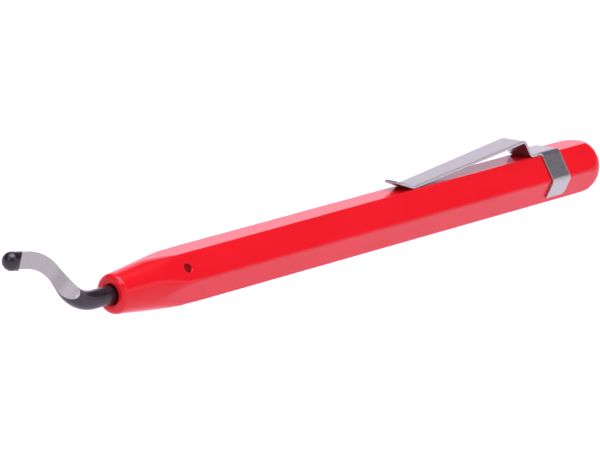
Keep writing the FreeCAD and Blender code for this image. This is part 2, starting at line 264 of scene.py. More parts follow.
class Route:
    """Flat path of straight runs joined by tangent arcs.

    Along an arc of curvature k the heading grows by k times the distance, and the place is
    (sin h - sin h0) / k along and (cos h0 - cos h) / k up.
    """

    def __init__(self, stretches: Sequence[Stretch]) -> None:
        """Work out where each run and each bend starts.

        Args:
            stretches: The runs and bends in order, from the origin, heading along the first axis.
        """
        table: list[tuple[float, float, float, float, float]] = []
        start = along = up = heading = 0.0
        for stretch in stretches:
            table.append((start, along, up, heading, 0.0))
            start += stretch.run
            along += stretch.run * math.cos(heading)
            up += stretch.run * math.sin(heading)
            if stretch.turn:
                curve = math.copysign(1.0 / stretch.radius, stretch.turn)
                table.append((start, along, up, heading, curve))
                last = heading + math.radians(stretch.turn)
                along += (math.sin(last) - math.sin(heading)) / curve
                up += (math.cos(heading) - math.cos(last)) / curve
                start += stretch.arc
                heading = last
        self.table = np.array(table)
        self.length = start

    def at(self, distance: Array) -> tuple[Array, Array]:
        """Places and headings along the route.

        Args:
            distance: Distances from the start, in metres.

        Returns:
            Points (..., 2) and headings (...) in radians.
        """
        piece = np.searchsorted(self.table[:, 0], distance, side="right") - 1
        start, along, up, heading, curve = np.moveaxis(self.table[np.clip(piece, 0, None)], -1, 0)
        gone = distance - start
        bent = curve != 0.0
        safe = np.where(bent, curve, 1.0)
        here = heading + curve * gone
        bend_along = (np.sin(here) - np.sin(heading)) / safe
        bend_up = (np.cos(heading) - np.cos(here)) / safe
        step_along = np.where(bent, bend_along, np.cos(heading) * gone)
        step_up = np.where(bent, bend_up, np.sin(heading) * gone)
        return np.stack([along + step_along, up + step_up], axis=-1), here


def side_of(heading: Array) -> Array:
    """Unit vector a quarter turn upwards from a heading."""
    return np.stack([-np.sin(heading), np.cos(heading)], axis=-1)


def ahead_of(heading: Array) -> Array:
    """Unit vector of a heading."""
    return np.stack([np.cos(heading), np.sin(heading)], axis=-1)


def turned_skin(profile: Array, base: Vector, axis: Vector, cells: int) -> Array:
    """Surface of revolution: base + axis * h + r * (u cos a + v sin a).

    Args:
        profile: Rows of (h, r), in metres.
        base: Point on the axis where h is 0.
        axis: Direction of the axis.
        cells: Number of cells round it.

    Returns:
        Points, one row for each row of the profile.
    """
    across = axis.orthogonal().normalized()
    frame_axes = np.array([axis.normalized(), across, axis.normalized().cross(across)])
    angle = circle_angles(cells)
    height = np.broadcast_to(profile[:, :1], (len(profile), cells + 1))
    rings = [height, np.outer(profile[:, 1], np.cos(angle)), np.outer(profile[:, 1], np.sin(angle))]
    local = np.stack(rings, axis=-1)
    return np.array(base) + local @ frame_axes


# ---- finishes


class Graph:
    """Node tree of one material, built a node at a time."""

    def __init__(self, name: str) -> None:
        """Start a material that holds a Principled shader and its output.

        Args:
            name: Name of the material.
        """
        self.material = bpy.data.materials.new(name)
        self.material.use_nodes = True
        self.tree = self.material.node_tree
        self.tree.nodes.clear()
        output = self.tree.nodes.new("ShaderNodeOutputMaterial")
        self.shader = self.tree.nodes.new("ShaderNodeBsdfPrincipled")
        self.tree.links.new(self.shader.outputs["BSDF"], output.inputs["Surface"])

    def node(self, kind: str, inputs: dict[str, Any] | None = None, **settings: Any) -> bpy.types.Node:
        """Add a node.

        Args:
            kind: Node type without its ShaderNode prefix.
            inputs: Values, or sockets to link, by input name.
            **settings: Properties of the node.

        Returns:
            The new node.
        """
        made = self.tree.nodes.new("ShaderNode" + kind)
        for name, value in settings.items():
            setattr(made, name, value)
        for name, value in (inputs or {}).items():
            self.feed(made.inputs[name], value)
        return made

    def feed(self, socket: Socket, value: Any) -> None:
        """Link a socket, or set its value.

        Args:
            socket: The socket.
            value: A socket to link it to, or a plain value.
        """
        if isinstance(value, Socket):
            self.tree.links.new(value, socket)
        else:
            socket.default_value = value

    def place(self, attribute: str | None = None) -> Socket:
        """Coordinates for a pattern: the piece's own, or those of a named attribute.

        Args:
            attribute: Name of the attribute, or None.

        Returns:
            A socket of vectors.
        """
        if attribute:
            return self.node("Attribute", attribute_name=attribute).outputs["Vector"]
        return self.node("TexCoord").outputs["Object"]

    def noise(self, place: Socket, wavelength: float, detail: float = 3.0) -> Socket:
        """Noise from 0 to 1 whose blotches are about a wavelength apart."""
        inputs = {"Vector": place, "Scale": 1.0 / wavelength, "Detail": detail}
        return self.node("TexNoise", inputs).outputs["Fac"]

    def remap(self, value: Socket, low: float, high: float) -> Socket:
        """Stretch the usual span of a noise, 0.3 to 0.7, to a span of its own."""
        inputs = {"Value": value, "From Min": 0.3, "From Max": 0.7, "To Min": low, "To Max": high}
        return self.node("MapRange", inputs).outputs["Result"]

    def blend(self, share: Socket, first: Any, second: Any) -> Socket:
        """Mix of two colours, each a colour or a socket.

        Args:
            share: Share of the second colour, 0 to 1.
            first: First colour.
            second: Second colour.

        Returns:
            A socket of colours.
        """
        mixer = self.node("Mix", data_type="RGBA", clamp_factor=True)
        colours = [each if isinstance(each, Socket) else (*each, 1.0) for each in (first, second)]
        for number, value in zip(MIX_INPUTS, (share, *colours)):
            self.feed(mixer.inputs[number], value)
        return mixer.outputs[MIX_RESULT]

    def bump(self, height: Socket, depth: float, under: Socket | None = None) -> Socket:
        """Relief of a real depth in metres, over another relief where one is given.

        Args:
            height: Height, 0 to 1.
            depth: Depth in metres of a height of 1.
            under: The other relief's normals.

        Returns:
            A socket of normals.
        """
        inputs: dict[str, Any] = {"Height": height, "Distance": depth, "Strength": 1.0}
        if under is not None:
            inputs["Normal"] = under
        return self.node("Bump", inputs).outputs["Normal"]

    def wear(self, sockets: dict[str, Any]) -> None:
        """Link or set the shader's sockets by name."""
        for name, value in sockets.items():
            self.feed(self.shader.inputs[name], value)


@dataclass(frozen=True)
class Lacquer:
    """Glossy lacquer over metal: two close shades, a soft orange peel and fine specks."""

    name: str
    shade: Colour
    deep_shade: Colour
    mottle: float = 9.0 * MM
    peel: float = 0.9 * MM
    peel_depth: float = 0.25 * MICRON
    speck: float = 0.18 * MM
    speck_depth: float = 0.04 * MICRON
    gloss: tuple[float, float] = (0.06, 0.12)
    index: float = 1.35

    def material(self) -> bpy.types.Material:
        """Build the material.

        Returns:
            The material.
        """
        graph = Graph(self.name)
        place = graph.place()
        cloud = graph.remap(graph.noise(place, self.mottle), 0.0, 1.0)
        peel = graph.noise(place, self.peel, detail=1.0)
        speck = graph.noise(place, self.speck, detail=4.0)
        relief = graph.bump(speck, self.speck_depth, graph.bump(peel, self.peel_depth))
        graph.wear({
            "Base Color": graph.blend(cloud, self.shade, self.deep_shade),
            "Roughness": graph.remap(speck, *self.gloss),
            "Normal": relief,
            "IOR": self.index,
        })
        return graph.material


@dataclass(frozen=True)
class BrushedSteel:
    """Bare steel with fine parallel lines: noise stretched along the direction of brushing."""

    name: str
    shade: Colour
    dark_shade: Colour
    attribute: str | None = None
    line_stretch: Triple = (0.02, 1.0, 1.0)
    turn: float = 0.0
    line: float = 0.06 * MM
    line_depth: float = 0.5 * MICRON
    stain: float = 3.0 * MM
    gloss: tuple[float, float] = (0.26, 0.4)

    def material(self) -> bpy.types.Material:
        """Build the material.

        Returns:
            The material.
        """
        graph = Graph(self.name)
        even = graph.place(self.attribute)
        turned = graph.node("Mapping", {"Vector": even, "Rotation": (0.0, self.turn, 0.0)})
        drawn = graph.node("Mapping", {"Vector": turned.outputs[0], "Scale": self.line_stretch})
        lines = graph.noise(drawn.outputs[0], self.line, detail=5.0)
        stains = graph.noise(even, self.stain)
        streaks = graph.blend(graph.remap(lines, 0.0, 1.0), self.dark_shade, self.shade)
        graph.wear({
            "Base Color": graph.blend(graph.remap(stains, 0.0, 0.35), streaks, self.dark_shade),
            "Metallic": 1.0,
            "Roughness": graph.remap(lines, *self.gloss),
            "Normal": graph.bump(lines, self.line_depth),
        })
        return graph.material


@dataclass(frozen=True)
class BlackOxide:
    """Blackened steel: dark with a grey bloom, fine pitting and a satin gloss."""

    name: str
    shade: Colour = (0.005, 0.003, 0.003)
    bloom: Colour = (0.014, 0.009, 0.01)
    cloud: float = 1.6 * MM
    pit: float = 0.07 * MM
    pit_depth: float = 1.0 * MICRON
    gloss: tuple[float, float] = (0.22, 0.32)
    index: float = 1.52

    def material(self) -> bpy.types.Material:
        """Build the material.

        Returns:
            The material.
        """
        graph = Graph(self.name)
        place = graph.place()
        pits = graph.noise(place, self.pit, detail=6.0)
        clouds = graph.noise(place, self.cloud)
        graph.wear({
            "Base Color": graph.blend(graph.remap(clouds, 0.0, 1.0), self.shade, self.bloom),
            "Roughness": graph.remap(pits, *self.gloss),
            "Normal": graph.bump(pits, self.pit_depth),
            "IOR": self.index,
        })
        return graph.material


@dataclass(frozen=True)
class Paper:
    """Seamless studio paper: pale, matt and faintly fibrous."""

    name: str
    shade: Colour = (0.92, 0.92, 0.92)
    shadow_shade: Colour = (0.9, 0.9, 0.9)
    fibre: float = 1.5 * MM
    fibre_depth: float = 20.0 * MICRON
    gloss: tuple[float, float] = (0.85, 0.95)

    def material(self) -> bpy.types.Material:
        """Build the material.

        Returns:
            The material.
        """
        graph = Graph(self.name)
        fibres = graph.noise(graph.place(), self.fibre)
        graph.wear({
            "Base Color": graph.blend(graph.remap(fibres, 0.0, 1.0), self.shade, self.shadow_shade),
            "Roughness": graph.remap(fibres, *self.gloss),
            "Normal": graph.bump(fibres, self.fibre_depth),
        })
        return graph.material


# ---- pieces


def joint(name: str) -> dict[str, Any]:
    """Joint of the CAD model, by its name."""
    return next(each for each in frame["joints"] if each["name"] == name)


def add_piece(name: str, skin: Surface, finishes: Sequence[Any], crease: float = 32.0,
              closed: bool = True) -> Piece:
    """Weld a surface into a smooth-shaded piece of the scene, in its finishes.

    Args:
        name: Name of the piece.
        skin: Its patches, in place in the model's frame.
        finishes: The finishes, in the order of the patches' numbers.
        crease: Angle in degrees past which an edge stays sharp.
        closed: True for a closed skin, whose faces are turned outwards.

    Returns:
        The piece.
    """
    mesh = skin.mesh(name, closed)
    for finish in finishes:
        mesh.materials.append(finish.material())
    mesh.shade_smooth()
    mesh.set_sharp_from_angle(angle=math.radians(crease))
    piece = bpy.data.objects.new(name, mesh)
    bpy.context.scene.collection.objects.link(piece)
    return piece


def seat(piece: Piece, body: Body, node: str) -> Piece:
    """Tie a piece to the CAD model.

    Args:
        piece: The piece.
        body: Body that it rides on.
        node: CAD node that it takes the place of.

    Returns:
        The piece.
    """
    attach(piece, body.value)
    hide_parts(node)
    return piece


# ---- handle


@dataclass
class Handle:
    """Lacquered hexagonal handle with a turned nose, a domed tail, a blade bore and a side hole."""

    edge_round: float = 0.5 * MM
    nose_radius: float = 3.33 * MM
    nose_taper: float = 0.1207
    rim_round: float = 0.9 * MM
    dome_radius: float = 5.05 * MM
    softness: float = 0.3 * MM
    bore_radius: float = 1.65 * MM
    bore_depth: float = 20.0 * MM
    drill_point: float = 0.95 * MM
    mouth_round: float = 0.6 * MM
    hole_radius: float = 0.8 * MM
    hole_rim: float = 0.1 * MM
    # Cells of the side hole's collar, bevel, wall and patch in the bore.
    hole_cells: tuple[int, int, int, int] = (4, 2, 8, 4)
    window_cells: int = 12
    flat_cells: int = 24
    corner_cells: int = 8
    # Cells along the neck, the cone, the soft join, the plain hexagon and its last stretch.
    row_cells: tuple[int, int, int, int, int] = (14, 44, 8, 40, 12)
    rim_cells: int = 12
    dome_cells: int = 48
    mouth_cells: int = 8
    throat_cells: int = 10
    deep_cells: int = 4
    neck_end: float = 7.0 * MM
    soft_end: float = 20.0 * MM
    tail_run: float = 4.0 * MM
    # Where the soft join of the tail starts and is full, from the dome's edge.
    tail_soft: tuple[float, float] = (-3.0 * MM, 1.0 * MM)
    warp_start: float = 2.0 * MM
    warp_margin: float = 1.0 * MM
    bore_window_angle: float = 90.0
    finish: Lacquer = Lacquer("RedLacquer", (0.655, 0.009, 0.015), (0.62, 0.007, 0.012))

    def __post_init__(self) -> None:
        """Read the handle's length, width and side hole from the frame."""
        low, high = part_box("handle_body")
        plug_low, plug_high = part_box("detent_plug")
        self.nose_x = low.x
        self.length = high.x - low.x
        self.apothem = (high.z - low.z) / 2
        self.axis_height = (high.z + low.z) / 2
        self.hole_place = (plug_low.x + plug_high.x) / 2 - low.x
        self.outward = Vector(joint("detent_lift")["axis"]).normalized()
        self.hole_angle = math.atan2(self.outward.z, self.outward.y)
        step = 2 * self.flat_half_width / self.flat_cells
        self.window = self.window_cells / 2 * step

    @property
    def flat_half_width(self) -> float:
        """Half the width of a flat, up to where its rounded edge begins."""
        return (self.apothem - self.edge_round) * math.tan(HALF_FLAT)

    def column_angles(self) -> Array:
        """Angles of the grid's columns round the axis, the same six times over.

        On a flat the columns are evenly spaced, at atan(t / apothem). On a rounded edge they turn
        evenly about the edge's own centre.

        Returns:
            Rising angles from +Y towards +Z, over one full turn.
        """
        side = np.linspace(-self.flat_half_width, self.flat_half_width, self.flat_cells + 1)
        on_flat = np.arctan2(side, self.apothem)
        turn = np.linspace(0.0, HALF_FLAT, self.corner_cells // 2 + 1)[1:]
        out = self.apothem - self.edge_round + self.edge_round * np.cos(turn)
        on_edge = np.arctan2(self.flat_half_width + self.edge_round * np.sin(turn), out)
        one = np.concatenate([-on_edge[-2::-1], on_flat, on_edge])
        centres = math.radians(-30.0) + FLAT_TURN * np.arange(6)
        angles = (centres[:, None] + one[None, :]).ravel()
        return np.concatenate([[centres[0] - HALF_FLAT], angles])

    def hexagon(self, angle: Array) -> Array:
        """Distance from the axis to a hexagon with rounded edges.

        With b the angle from the nearest flat's middle it is apothem / cos b on the flat. On the
        edge it is c cos e + sqrt(r^2 - c^2 sin^2 e), with c the distance of the edge's centre and e
        the angle from it.

        Args:
            angle: Angles from +Y towards +Z.

        Returns:
            Distances in metres.
        """
        fold = np.abs(np.mod(angle - math.radians(30.0) + HALF_FLAT, FLAT_TURN) - HALF_FLAT)
        limit = math.atan2(self.flat_half_width, self.apothem)
        centre = (self.apothem - self.edge_round) / math.cos(HALF_FLAT)
        off = HALF_FLAT - fold
        inside = np.maximum(self.edge_round**2 - (centre * np.sin(off)) ** 2, 0.0)
        edge = centre * np.cos(off) + np.sqrt(inside)
        return np.where(fold <= limit, self.apothem / np.cos(fold), edge)

    def turned_radius(self, place: Array) -> Array:
        """Radius that the lathe leaves: a cone at the nose, a half ball at the tail.

        The cone's front edge is an arc tangent to the nose plane and to the cone.

        Args:
            place: Distances behind the nose plane.

        Returns:
            Radii in metres.
        """
        cone = self.nose_radius + self.nose_taper * place
        past = np.clip(place - (self.length - self.dome_radius), 0.0, self.dome_radius)
        dome = np.sqrt(self.dome_radius**2 - past**2)
        ahead = np.clip(self.rim_round - place, 0.0, self.rim_round)
        rim = self.rim_centre + np.sqrt(self.rim_round**2 - ahead**2)
        on_rim = place < self.rim_round * (1.0 - math.sin(math.atan(self.nose_taper)))
        return np.minimum(np.where(on_rim, rim, cone), dome)

    @property
    def rim_centre(self) -> float:
        """Distance from the axis to the centre of the rim's arc."""
        slant = math.hypot(1.0, self.nose_taper)
        return self.nose_radius + self.nose_taper * self.rim_round - self.rim_round * slant

    def outer_places(self) -> Array:
        """Distances behind the nose plane of the outer rows, close together where it curves.

        Returns:
            Rising distances, from the nose plane to the tail's end.
        """
        arc = math.pi / 2 - math.atan(self.nose_taper)
        rim = self.rim_round * (1.0 - np.cos(np.linspace(0.0, arc, self.rim_cells + 1)))
        front = self.hole_place - self.window
        back = self.hole_place + self.window
        tail = self.length - self.dome_radius
        neck, cone, soft, plain, end = self.row_cells
        body = spread([
            (rim[-1], self.neck_end, neck),
            (self.neck_end, front, cone),
            (front, back, self.window_cells),
            (back, self.soft_end, soft),
            (self.soft_end, tail - self.tail_run, plain),
            (tail - self.tail_run, tail, end),
        ])
        turn = quarter(self.dome_cells)
        return np.concatenate([rim, body[1:], tail + self.dome_radius * np.sin(turn[1:])])

    def outer_grid(self) -> tuple[Array, Array]:
        """Outer skin: the smaller of hexagon and turned radius, with a soft join.

        The soft minimum is min(a, b) - k/4 (1 - |a - b| / k)^2 where they differ by less than k.

        Returns:
            Grid of points and the rows' distances behind the nose plane.
        """
        place = self.outer_places()
        angle = self.column_angles()
        flat = self.hexagon(angle)[None, :]
        turned = self.turned_radius(place)[:, None]
        tail = self.length - self.dome_radius
        fade = 1.0 - smooth_step(self.hole_place, self.soft_end, place)
        fade += smooth_step(*(tail + step for step in self.tail_soft), place)
        k = np.maximum(self.softness * fade, TINY)[:, None]
        near = np.maximum(1.0 - np.abs(flat - turned) / k, 0.0)
        radius = np.minimum(flat, turned) - k / 4 * near**2
        radius = np.maximum(radius, 0.0)
        radius[-1] = 0.0
        return self.round_axis(place[:, None], radius, angle[None, :]), place

    def round_axis(self, place: Array, radius: Array, angle: Array) -> Array:
        """Points at a distance behind the nose plane, a radius and an angle from +Y towards +Z.

        Args:
            place: Distances behind the nose plane.
            radius: Distances from the axis.
            angle: Angles, of a shape that fits the other two.

        Returns:
            Grid of points.
        """
        place, radius, angle = np.broadcast_arrays(place, radius, angle)
        y = radius * np.cos(angle)
        z = self.axis_height + radius * np.sin(angle)
        return np.stack([self.nose_x + place, y, z], axis=-1)

    def inner_grid(self, window_places: Array) -> Array:
        """Front face, rounded mouth, bore and drill point, from the rim inwards.

        The columns match the outer skin's at the mouth, and crowd away from the side hole deeper
        in, so that the same number of them spans the hole there.

        Args:
            window_places: Rows round the side hole, shared with the outer skin.

        Returns:
            Grid of points.
        """
        lip = self.mouth_round
        turn = quarter(self.mouth_cells)[1:]
        point = shares(self.deep_cells)[1:]
        face = np.linspace(self.rim_centre, self.bore_radius + lip, self.deep_cells)
        bore = spread([
            (lip, window_places[0], self.throat_cells),
            (window_places[0], window_places[-1], self.window_cells),
            (window_places[-1], self.bore_depth, self.deep_cells),
        ])[1:]
        bore[self.throat_cells - 1:self.throat_cells + self.window_cells] = window_places
        place = np.concatenate([
            np.zeros_like(face),
            lip * (1.0 - np.cos(turn)),
            bore,
            self.bore_depth + self.drill_point * point,
        ])
        radius = np.concatenate([
            face,
            self.bore_radius + lip * (1.0 - np.sin(turn)),
            np.full(len(bore), self.bore_radius),
            self.bore_radius * (1 - point),
        ])
        angle = self.column_angles()
        warp = smooth_step(self.warp_start, window_places[0] - self.warp_margin, place)[:, None]
        bent = angle + (self.bore_angles() - angle) * warp
        return self.round_axis(place[:, None], radius[:, None], bent)

    def bore_angles(self) -> Array:
        """Column angles deep in the bore: the hole's window widened to its own span.

        Returns:
            One angle for each column.
        """
        angle = self.column_angles()
        first, last = self.window_columns()
        half = math.radians(self.bore_window_angle) / 2
        marks = [angle[0], angle[first], angle[last], angle[-1]]
        goals = [angle[0], self.hole_angle - half, self.hole_angle + half, angle[-1]]
        return np.interp(angle, marks, goals)

    def window_columns(self) -> tuple[int, int]:
        """First and last column of the window round the side hole."""
        middle = int(np.argmin(np.abs(self.column_angles() - self.hole_angle)))
        return middle - self.window_cells // 2, middle + self.window_cells // 2

    def loop(self, grid: Array, row: int) -> Array:
        """Points of a window's border, once round and back to the first.

        Args:
            grid: Grid that holds the window.
            row: The window's first row.

        Returns:
            Points, 4 sides of window cells and the first point again.
        """
        first, last = self.window_columns()
        end = row + self.window_cells
        sides = [
            grid[row, first:last],
            grid[row:end, last],
            grid[end, last:first:-1],
            grid[end:row:-1, first],
            grid[row:row + 1, first],
        ]
        return np.concatenate(sides)

    def hole_grids(self, outer: Array, inner: Array) -> list[Array]:
        """Side hole: a patch on the flat, a small bevel, the wall, and a patch in the bore.

        Each border is shrunk towards a circle about the hole's axis. On the bore the circle is
        laid on the cylinder: its height over the axis is sqrt(R^2 - t^2).

        Args:
            outer: Border of the window in the outer skin.
            inner: Border of the window in the bore.

        Returns:
            Grids from the outer border to the inner one.
        """
        origin = np.array([self.nose_x + self.hole_place, 0.0, self.axis_height])
        across = np.array(Vector((1, 0, 0)).cross(self.outward))
        out = np.array(self.outward)
        local = outer - origin
        bearing = np.arctan2(local @ across, local[:, 0])
        ring = np.stack([np.cos(bearing), np.sin(bearing)], axis=-1)

        def circle(radius: float, height: Array | float) -> Array:
            """Points of a circle about the hole's axis at a height over the handle's axis."""
            flat = np.outer(ring[:, 0] * radius, [1.0, 0.0, 0.0])
            lift = np.multiply.outer(np.broadcast_to(height, ring.shape[:1]), out)
            return origin + flat + np.outer(ring[:, 1] * radius, across) + lift

        def between(first: Array, last: Array, cells: int) -> Array:
            """Straight rows from one border to another."""
            share = shares(cells)[:, None, None]
            return first * (1.0 - share) + last * share

        top = circle(self.hole_radius + self.hole_rim, self.apothem)
        edge = circle(self.hole_radius, self.apothem - self.hole_rim)
        foot = circle(self.hole_radius, np.sqrt(self.bore_radius**2 - (self.hole_radius * ring[:, 1]) ** 2))
        borders = (outer, top, edge, foot, inner)
        *grids, deep = map(between, borders, borders[1:], self.hole_cells)
        side = (deep - origin) @ across
        height = (deep - origin) @ out
        scale = self.bore_radius / np.hypot(side, height)
        deep = deep + ((scale - 1.0) * side)[..., None] * across
        deep = deep + ((scale - 1.0) * height)[..., None] * out
        return [*grids, deep]

    def build(self) -> list[Piece]:
        """Build the handle as one closed surface, in place of the CAD handle.

        Returns:
            The handle.
        """
        outer, place = self.outer_grid()
        row = int(np.argmin(np.abs(place - (self.hole_place - self.window))))
        window_places = place[row:row + self.window_cells + 1]
        inner = self.inner_grid(window_places)
        inner_row = int(np.argmin(np.abs(inner[:, 0, 0] - self.nose_x - window_places[0])))
        first, last = self.window_columns()
        skin = Surface()
        for grid, start in ((outer, row), (inner, inner_row)):
            keep = np.ones((grid.shape[0] - 1, grid.shape[1] - 1), dtype=bool)
            keep[start:start + self.window_cells, first:last] = False
            skin.add(grid, keep=keep)
        for grid in self.hole_grids(self.loop(outer, row), self.loop(inner, inner_row)):
            skin.add(grid)
        piece = add_piece("handle", skin, [self.finish])
        return [seat(piece, Body.HANDLE, "handle_body")]


# ---- blade


@dataclass
class SwivelBlade:
    """Bent wire blade: ring groove on the shank, ground flat with its run-out and ramp, round tip."""

    neck_run: float = 21.8 * MM
    first_bend: float = 7.8 * MM
    first_turn: float = 57.0
    middle_run: float = 1.6 * MM
    second_bend: float = 9.8 * MM
    second_turn: float = 47.0
    tip_run: float = 4.4 * MM
    shank_bevel: float = 0.3 * MM
    groove_radius: float = 1.15 * MM
    groove_width: float = 1.6 * MM
    flat_depth: float = 0.7 * MM
    wheel_radius: float = 8.0 * MM
    wheel_start: float = 3.2 * MM
    ramp_start: float = 2.7 * MM
    ramp_angle: float = 45.0
    ramp_skew: float = 10.0
    search_back: float = 6.0 * MM
    search_rows: int = 4001
    edge_search: float = 2.5 * MM
    halvings: int = 48
    shank_cells: int = 24
    wheel_cells: int = 40
    flat_cells: int = 32
    ramp_cells: int = 20
    tip_cells: int = 20
    round_cells: int = 56
    face_cells: int = 16
    oxide: BlackOxide = BlackOxide("BlackOxide")
    ground: BrushedSteel = BrushedSteel(
        "GroundSteel",
        (0.4, 0.395, 0.365),
        (0.35, 0.345, 0.32),
        turn=math.radians(45.0),
        line=0.035 * MM,
        line_depth=0.25 * MICRON,
        gloss=(0.24, 0.36),
    )

    def __post_init__(self) -> None:
        """Read the wire's size and place from the frame, and lay out its route."""
        low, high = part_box("swivel_blade")
        ball_low, ball_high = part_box("detent_ball")
        self.end_x = high.x
        self.radius = (high.y - low.y) / 2
        handle_low, handle_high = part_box("handle_body")
        self.axis_height = (handle_low.z + handle_high.z) / 2
        self.groove_middle = high.x - (ball_low.x + ball_high.x) / 2
        first = Stretch(self.neck_run, self.first_bend, self.first_turn)
        second = Stretch(self.middle_run, self.second_bend, -self.second_turn)
        self.route = Route([first, second, Stretch(self.tip_run)])
        self.middle = first.run + first.arc
        self.ramp_heading = math.radians(self.first_turn - self.second_turn + self.ramp_skew)

    def crossing(self, origin: Array, heading: float, offset: Array) -> Array:
        """Distances along the route of lines square to a heading, each offset from an origin.

        Args:
            origin: Point in the route's plane.
            heading: Heading that the lines are square to.
            offset: Rising offsets along that heading.

        Returns:
            Distances along the route.
        """
        end = self.route.length + self.radius
        fine = np.linspace(self.middle - self.search_back, end, self.search_rows)
        points, _ = self.route.at(fine)
        travel = (points - origin) @ ahead_of(np.array(heading))
        return np.interp(offset, travel, fine)

    def ground_rows(self) -> tuple[Array, Array, Array]:
        """Rows across the ground part: run-out of the wheel, flat, and ramp.

        The wheel leaves y = -(R - f) + sqrt(R^2 - (x - x0)^2). The ramp falls back in a straight
        line. Both are straight across, so each row is a straight line at one depth.

        Returns:
            Distances along the route, headings square to the rows, and depths y.
        """
        turn = math.radians(self.first_turn)
        slope = math.tan(math.radians(self.ramp_angle))
        sink = self.radius + self.flat_depth
        reach = math.sqrt(self.wheel_radius**2 - (self.wheel_radius - sink) ** 2)
        gone = -reach * (1.0 - shares(self.wheel_cells) ** 2)
        middle_point, _ = self.route.at(np.array(self.middle))
        wheel_rows = self.crossing(middle_point, turn, self.wheel_start + gone)
        wheel_depth = self.flat_depth - self.wheel_radius
        wheel_depth = wheel_depth + np.sqrt(self.wheel_radius**2 - gone**2)
        wheel_depth[0] = -self.radius
        ramp_place = self.route.length - self.ramp_start
        rise = sink * (1.0 - (1.0 - shares(self.ramp_cells)) ** 2)
        ramp_rows = ramp_place + rise / slope
        flat_rows = np.linspace(wheel_rows[-1], ramp_place, self.flat_cells + 1)[1:-1]
        flat_share = (flat_rows - wheel_rows[-1]) / (ramp_place - wheel_rows[-1])
        rows = np.concatenate([wheel_rows, flat_rows, ramp_rows])
        headings = np.concatenate([
            np.full(len(wheel_rows), turn),
            turn + (self.ramp_heading - turn) * flat_share,
            np.full(len(ramp_rows), self.ramp_heading),
        ])
        depths = np.concatenate([
            wheel_depth,
            np.full(len(flat_rows), self.flat_depth),
            np.maximum(self.flat_depth - rise, -self.radius),
        ])
        return rows, headings, depths

    def border(self, rows: Array, headings: Array, depths: Array, side: int) -> Array:
        """Where each row's line meets the edge of the ground face, as distance along the route.

        The edge lies g = sqrt(r^2 - depth^2) off the route. The distance is found by halving: the
        edge point's travel past the row's line grows steadily with the distance.

        Args:
            rows: Distances of the rows along the route.
            headings: Headings square to the rows.
            depths: Depths of the rows.
            side: 1 for the upper edge, -1 for the lower.

        Returns:
            Distances along the route.
        """
        centre, _ = self.route.at(rows)
        square = ahead_of(headings)
        reach = np.sqrt(np.maximum(self.radius**2 - depths**2, 0.0))
        low = rows - self.edge_search
        high = rows + self.edge_search
        for _ in range(self.halvings):
            guess = (low + high) / 2
            points, heading = self.route.at(guess)
            points = points + side * reach[:, None] * side_of(heading)
            beyond = np.sum((points - centre) * square, axis=-1) > 0.0
            high = np.where(beyond, guess, high)
            low = np.where(beyond, low, guess)
        return (low + high) / 2

    def on_wire(self, place: Array, radius: Array, angle: Array) -> Array:
        """Points of the wire: route + r sin(a) sideways in its plane, and -r cos(a) in Y.

        Args:
            place: Distances along the route.
            radius: Distances off it.
            angle: Angles round it, of a shape that fits the other two.

        Returns:
            Grid of points.
        """
        place, radius, angle = np.broadcast_arrays(place, radius, angle)
        points, heading = self.route.at(place)
        points = points + (radius * np.sin(angle))[..., None] * side_of(heading)
        return self.to_frame(points, -radius * np.cos(angle))

    def to_frame(self, points: Array, y: Array) -> Array:
        """Points of the route's plane, at a depth, in the model's frame."""
        x = self.end_x - points[..., 0]
        return np.stack([x, y, self.axis_height + points[..., 1]], axis=-1)

    def plain_grid(self, place: Array, radius: Array) -> Array:
        """Full rounds of the wire at the given places and radii."""
        angle = circle_angles(self.round_cells)
        return self.on_wire(place[:, None], radius[:, None], angle[None, :])

    def shank_rows(self, end: float) -> tuple[Array, Array]:
        """Places and radii of the shank: bevelled end, ring groove, and plain wire up to end.

        Args:
            end: Where the plain wire ends, as distance along the route.

        Returns:
            Distances along the route, and radii.
        """
        front = self.groove_middle - self.groove_width / 2
        back = self.groove_middle + self.groove_width / 2
        start = [
            (0.0, 0.0),
            (0.0, self.radius - self.shank_bevel),
            (self.shank_bevel, self.radius),
            (front, self.radius),
            (front, self.groove_radius),
            (back, self.groove_radius),
            (back, self.radius),
        ]
        cells = self.shank_cells
        long = spread([(back, self.neck_run, cells), (self.neck_run, end, cells)])[1:]
        place = np.concatenate([[row[0] for row in start], long])
        radius = np.concatenate([[row[1] for row in start], np.full(len(long), self.radius)])
        return place, radius

    def build(self) -> list[Piece]:
        """Build the blade as one closed surface, oxide on the round, steel on the ground faces.

        Returns:
            The blade.
        """
        rows, headings, depths = self.ground_rows()
        upper = self.border(rows, headings, depths, 1)
        lower = self.border(rows, headings, depths, -1)
        upper[[0, -1]] = lower[[0, -1]] = rows[[0, -1]]
        opening = np.arccos(np.clip(-depths / self.radius, -1.0, 1.0))
        share = shares(self.round_cells)[None, :]
        angle = opening[:, None] + share * (2.0 * math.pi - 2.0 * opening[:, None])
        place = upper[:, None] + share * (lower - upper)[:, None]
        around = self.on_wire(place, np.array(self.radius), angle)
        top, bottom = around[:, :1], around[:, -1:]
        across = shares(self.face_cells)[None, :, None]
        face = bottom * (1.0 - across) + top * across
        tip_turn = quarter(self.tip_cells)
        end_place = np.concatenate([[rows[-1]], self.route.length + self.radius * np.sin(tip_turn)])
        end_radius = np.concatenate([[self.radius], self.radius * np.cos(tip_turn)])
        end_radius[-1] = 0.0
        skin = Surface()
        skin.add(self.plain_grid(*self.shank_rows(rows[0])))
        skin.add(around)
        skin.add(face, finish=1)
        skin.add(self.plain_grid(end_place, end_radius))
        piece = add_piece("swivel_blade_wire", skin, [self.oxide, self.ground])
        return [seat(piece, Body.BLADE, "swivel_blade")]


# ---- detent


